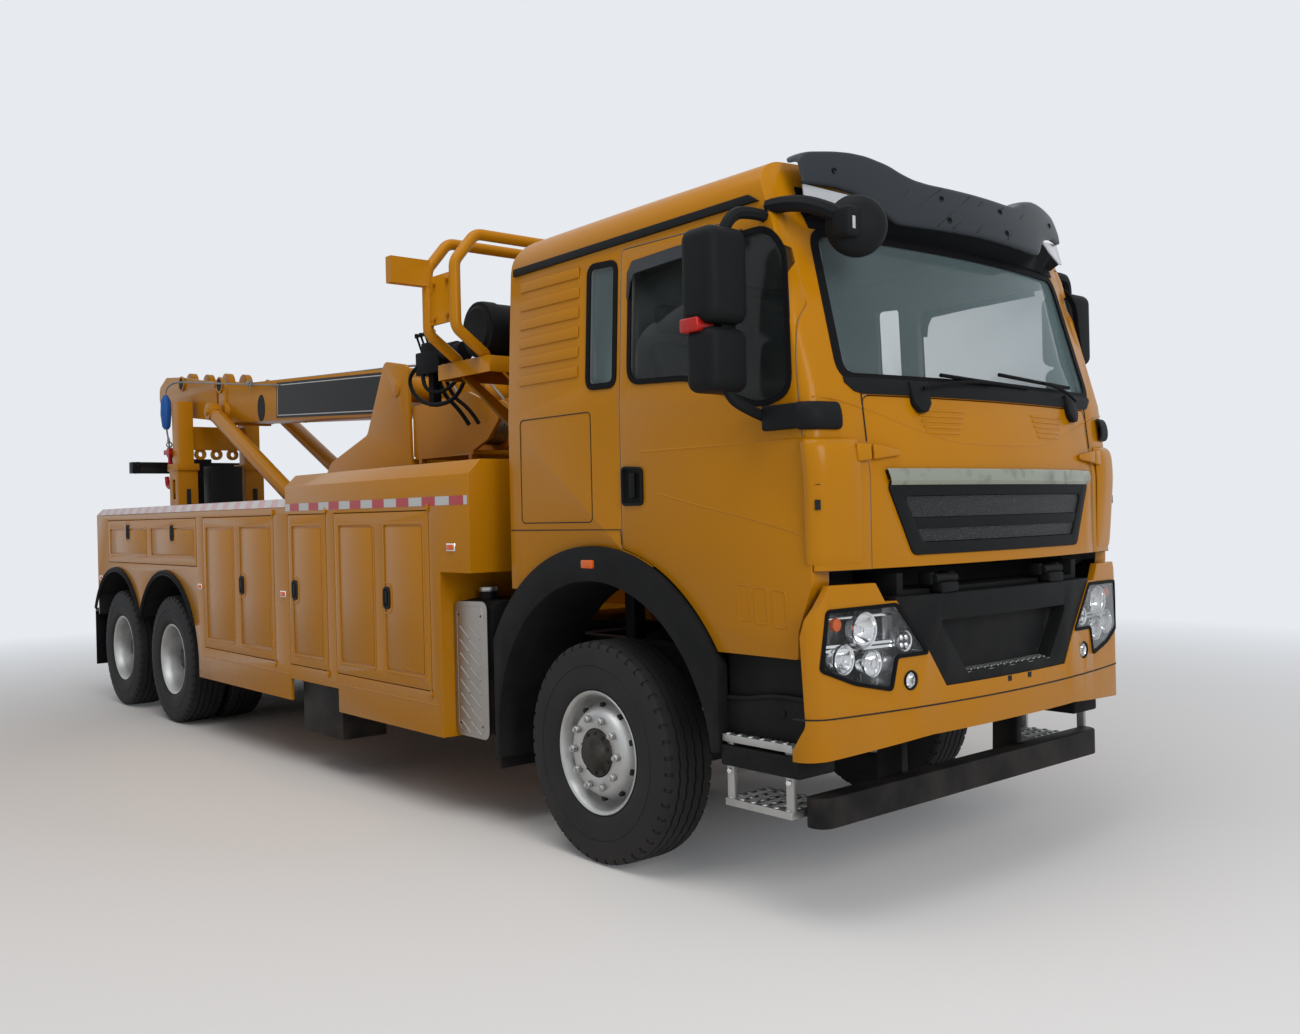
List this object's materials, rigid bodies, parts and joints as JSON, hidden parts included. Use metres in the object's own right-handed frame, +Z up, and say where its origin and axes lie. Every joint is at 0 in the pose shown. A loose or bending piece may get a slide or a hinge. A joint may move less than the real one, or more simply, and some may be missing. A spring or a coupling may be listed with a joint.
{
  "type": "tow truck",
  "caption": "Heavy tow truck with a sleeper cab, side lockers, a telescoping recovery boom, lift cylinders and a folded underlift.",
  "frame": {"origin": "on the ground, below the middle of the truck's length and width", "axes": "+X forward along the truck, +Y to the driver's left, +Z up"},
  "size_m": [10.5235, 2.8186, 3.3317],
  "materials": {
    "body_paint": "gloss",
    "black_steel": "satin",
    "black_plastic": "satin",
    "visor_plastic": "gloss",
    "glass": "clear",
    "lamp": "gloss",
    "cast": "rough",
    "tyre": "matt",
    "rim": "painted silver",
    "step": "satin",
    "trim": "woven",
    "hook": "gloss"
  },
  "bodies": {
    "chassis": {"chassis_frame": "black_steel", "drive_line": "cast", "cab_shell": "body_paint", "cab_glass": "glass", "cab_interior": "trim", "cab_trim": "visor_plastic", "bumper": "body_paint", "headlamps": "lamp", "lower_grille": "black_plastic", "underrun_beam": "black_steel", "steps": "step", "wheel_arches": "black_plastic", "tank_and_boxes": "black_steel", "lockers_left": "body_paint", "lockers_right": "body_paint", "deck": "body_paint", "mast_frame": "body_paint", "winches": "body_paint", "guard_frame": "body_paint", "hydraulics": "black_steel", "underlift_columns": "body_paint", "tow_hooks": "hook"},
    "front_flap": {"front_flap": "body_paint", "upper_grille": "black_plastic"},
    "cab_door_right": {"cab_door_right": "body_paint", "door_glass_right": "glass", "mirror_right": "black_plastic"},
    "locker_door_a_right": {"locker_door_a_right": "body_paint"},
    "locker_door_b_right": {"locker_door_b_right": "body_paint"},
    "locker_door_c_right": {"locker_door_c_right": "body_paint"},
    "locker_lid_right": {"locker_lid_right": "body_paint"},
    "knuckle_right": {"knuckle_right": "cast"},
    "front_wheel_right": {"front_tyre_right": "tyre", "front_rim_right": "rim"},
    "cab_door_left": {"cab_door_left": "body_paint", "door_glass_left": "glass", "mirror_left": "black_plastic"},
    "locker_door_a_left": {"locker_door_a_left": "body_paint"},
    "locker_door_b_left": {"locker_door_b_left": "body_paint"},
    "locker_door_c_left": {"locker_door_c_left": "body_paint"},
    "locker_lid_left": {"locker_lid_left": "body_paint"},
    "knuckle_left": {"knuckle_left": "cast"},
    "front_wheel_left": {"front_tyre_left": "tyre", "front_rim_left": "rim"},
    "middle_wheels_left": {"middle_tyres_left": "tyre", "middle_rims_left": "rim"},
    "rear_wheels_left": {"rear_tyres_left": "tyre", "rear_rims_left": "rim"},
    "middle_wheels_right": {"middle_tyres_right": "tyre", "middle_rims_right": "rim"},
    "rear_wheels_right": {"rear_tyres_right": "tyre", "rear_rims_right": "rim"},
    "boom": {"boom_outer": "body_paint"},
    "boom_tip": {"boom_inner": "body_paint"},
    "lift_barrels": {"lift_barrels": "body_paint"},
    "lift_rods": {"lift_rods": "rim"},
    "underlift_slider": {"underlift_carriage": "black_steel"},
    "stinger": {"stinger_outer": "black_steel"},
    "stinger_tip": {"stinger_tip": "black_steel"},
    "crossbar": {"crossbar": "black_steel"}
  },
  "joints": [
    {"name": "front_flap_hinge", "type": "hinge", "parent": "chassis", "child": "front_flap", "pos_m": [5.228, 0, 2.15], "axis": [0, -1, 0], "range_deg": [0, 75]},
    {"name": "cab_door_right_hinge", "type": "hinge", "parent": "chassis", "child": "cab_door_right", "pos_m": [5.1, -1.135, 2], "axis": [0, 0, 1], "range_deg": [0, 68]},
    {"name": "locker_door_a_right_hinge", "type": "hinge", "parent": "chassis", "child": "locker_door_a_right", "pos_m": [0.16, -1.25, 1.22], "axis": [0, 0, 1], "range_deg": [0, 110]},
    {"name": "locker_door_b_right_hinge", "type": "hinge", "parent": "chassis", "child": "locker_door_b_right", "pos_m": [1, -1.25, 1.22], "axis": [0, 0, 1], "range_deg": [0, 110]},
    {"name": "locker_door_c_right_hinge", "type": "hinge", "parent": "chassis", "child": "locker_door_c_right", "pos_m": [2.32, -1.25, 1.22], "axis": [0, 0, 1], "range_deg": [0, 110]},
    {"name": "locker_lid_right_hinge", "type": "hinge", "parent": "chassis", "child": "locker_lid_right", "pos_m": [-2.53, -1.25, 1.345], "axis": [1, 0, 0], "range_deg": [0, 115]},
    {"name": "cab_door_left_hinge", "type": "hinge", "parent": "chassis", "child": "cab_door_left", "pos_m": [5.1, 1.135, 2], "axis": [0, 0, -1], "range_deg": [0, 68]},
    {"name": "locker_door_a_left_hinge", "type": "hinge", "parent": "chassis", "child": "locker_door_a_left", "pos_m": [0.16, 1.25, 1.22], "axis": [0, 0, -1], "range_deg": [0, 110]},
    {"name": "locker_door_b_left_hinge", "type": "hinge", "parent": "chassis", "child": "locker_door_b_left", "pos_m": [1, 1.25, 1.22], "axis": [0, 0, -1], "range_deg": [0, 110]},
    {"name": "locker_door_c_left_hinge", "type": "hinge", "parent": "chassis", "child": "locker_door_c_left", "pos_m": [2.32, 1.25, 1.22], "axis": [0, 0, -1], "range_deg": [0, 110]},
    {"name": "locker_lid_left_hinge", "type": "hinge", "parent": "chassis", "child": "locker_lid_left", "pos_m": [-2.53, 1.25, 1.345], "axis": [-1, 0, 0], "range_deg": [0, 115]},
    {"name": "steer_left", "type": "hinge", "parent": "chassis", "child": "knuckle_left", "pos_m": [3.7, 0.8, 0.54], "axis": [0, 0, 1], "range_deg": [-38, 38]},
    {"name": "steer_right", "type": "hinge", "parent": "chassis", "child": "knuckle_right", "pos_m": [3.7, -0.8, 0.54], "axis": [0, 0, 1], "range_deg": [-38, 38]},
    {"name": "front_wheel_left_spin", "type": "hinge", "parent": "knuckle_left", "child": "front_wheel_left", "pos_m": [3.7, 1.02, 0.54], "axis": [0, 1, 0], "continuous": true},
    {"name": "middle_wheels_left_spin", "type": "hinge", "parent": "chassis", "child": "middle_wheels_left", "pos_m": [-2.125, 0.9, 0.54], "axis": [0, 1, 0], "continuous": true},
    {"name": "rear_wheels_left_spin", "type": "hinge", "parent": "chassis", "child": "rear_wheels_left", "pos_m": [-3.475, 0.9, 0.54], "axis": [0, 1, 0], "continuous": true},
    {"name": "front_wheel_right_spin", "type": "hinge", "parent": "knuckle_right", "child": "front_wheel_right", "pos_m": [3.7, -1.02, 0.54], "axis": [0, 1, 0], "continuous": true},
    {"name": "middle_wheels_right_spin", "type": "hinge", "parent": "chassis", "child": "middle_wheels_right", "pos_m": [-2.125, -0.9, 0.54], "axis": [0, 1, 0], "continuous": true},
    {"name": "rear_wheels_right_spin", "type": "hinge", "parent": "chassis", "child": "rear_wheels_right", "pos_m": [-3.475, -0.9, 0.54], "axis": [0, 1, 0], "continuous": true},
    {"name": "boom_luff", "type": "hinge", "parent": "chassis", "child": "boom", "pos_m": [0.55, 0, 2.63], "axis": [0, 1, 0], "range_deg": [0, 45]},
    {"name": "boom_extend", "type": "slide", "parent": "boom", "child": "boom_tip", "axis": [-0.9983, 0, 0.0576], "range_m": [0, 1.8]},
    {"name": "lift_barrel_turn", "type": "hinge", "parent": "chassis", "child": "lift_barrels", "pos_m": [-1.05, 0, 1.66], "axis": [0, 1, 0], "range_deg": [0, 49.21]},
    {"name": "lift_rod_slide", "type": "slide", "parent": "lift_barrels", "child": "lift_rods", "axis": [-0.8998, 0, 0.4363], "range_m": [0, 1.427]},
    {"name": "underlift_lift", "type": "slide", "parent": "chassis", "child": "underlift_slider", "axis": [0, 0, 1], "range_m": [-0.35, 0]},
    {"name": "stinger_fold", "type": "hinge", "parent": "underlift_slider", "child": "stinger", "pos_m": [-4.775, 0, 0.76], "axis": [0, -1, 0], "range_deg": [0, 90]},
    {"name": "stinger_extend", "type": "slide", "parent": "stinger", "child": "stinger_tip", "axis": [0, 0, 1], "range_m": [0, 0.55]},
    {"name": "crossbar_swivel", "type": "hinge", "parent": "stinger_tip", "child": "crossbar", "pos_m": [-5, 0, 2.305], "axis": [1, 0, 0], "range_deg": [-30, 30]}
  ],
  "couplings": [
    {"joint": "steer_right", "follows": "steer_left", "ratio": 1},
    {"joint": "lift_barrel_turn", "follows": "boom_luff", "ratio": 1.0825},
    {"joint": "lift_rod_slide", "follows": "boom_luff", "m_per_rad": 1.804}
  ]
}
